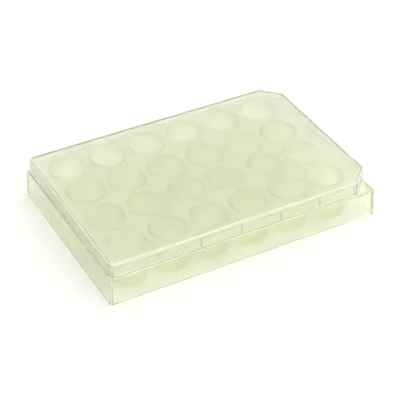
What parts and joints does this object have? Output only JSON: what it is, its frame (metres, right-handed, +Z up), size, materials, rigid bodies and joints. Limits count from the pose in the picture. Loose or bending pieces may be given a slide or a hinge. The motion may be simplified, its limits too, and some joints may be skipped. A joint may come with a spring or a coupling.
{
  "type": "well plate",
  "caption": "Shallow rectangular plate of round open wells hanging from a deck in a skirted frame, under a loose flat lid with two cut corners.",
  "frame": {"origin": "on the table, under the middle of the foot", "axes": "+X along the long side towards the two cut corners, +Y along the short side, +Z up"},
  "size_m": [0.1278, 0.0854, 0.0197],
  "materials": {
    "plate": "clear moulded plastic with a pale yellow-green cast, glossy",
    "lid": "clear moulded plastic, glossy"
  },
  "bodies": {
    "root": {"plate": "plate", "lid": "lid"}
  },
  "joints": []
}
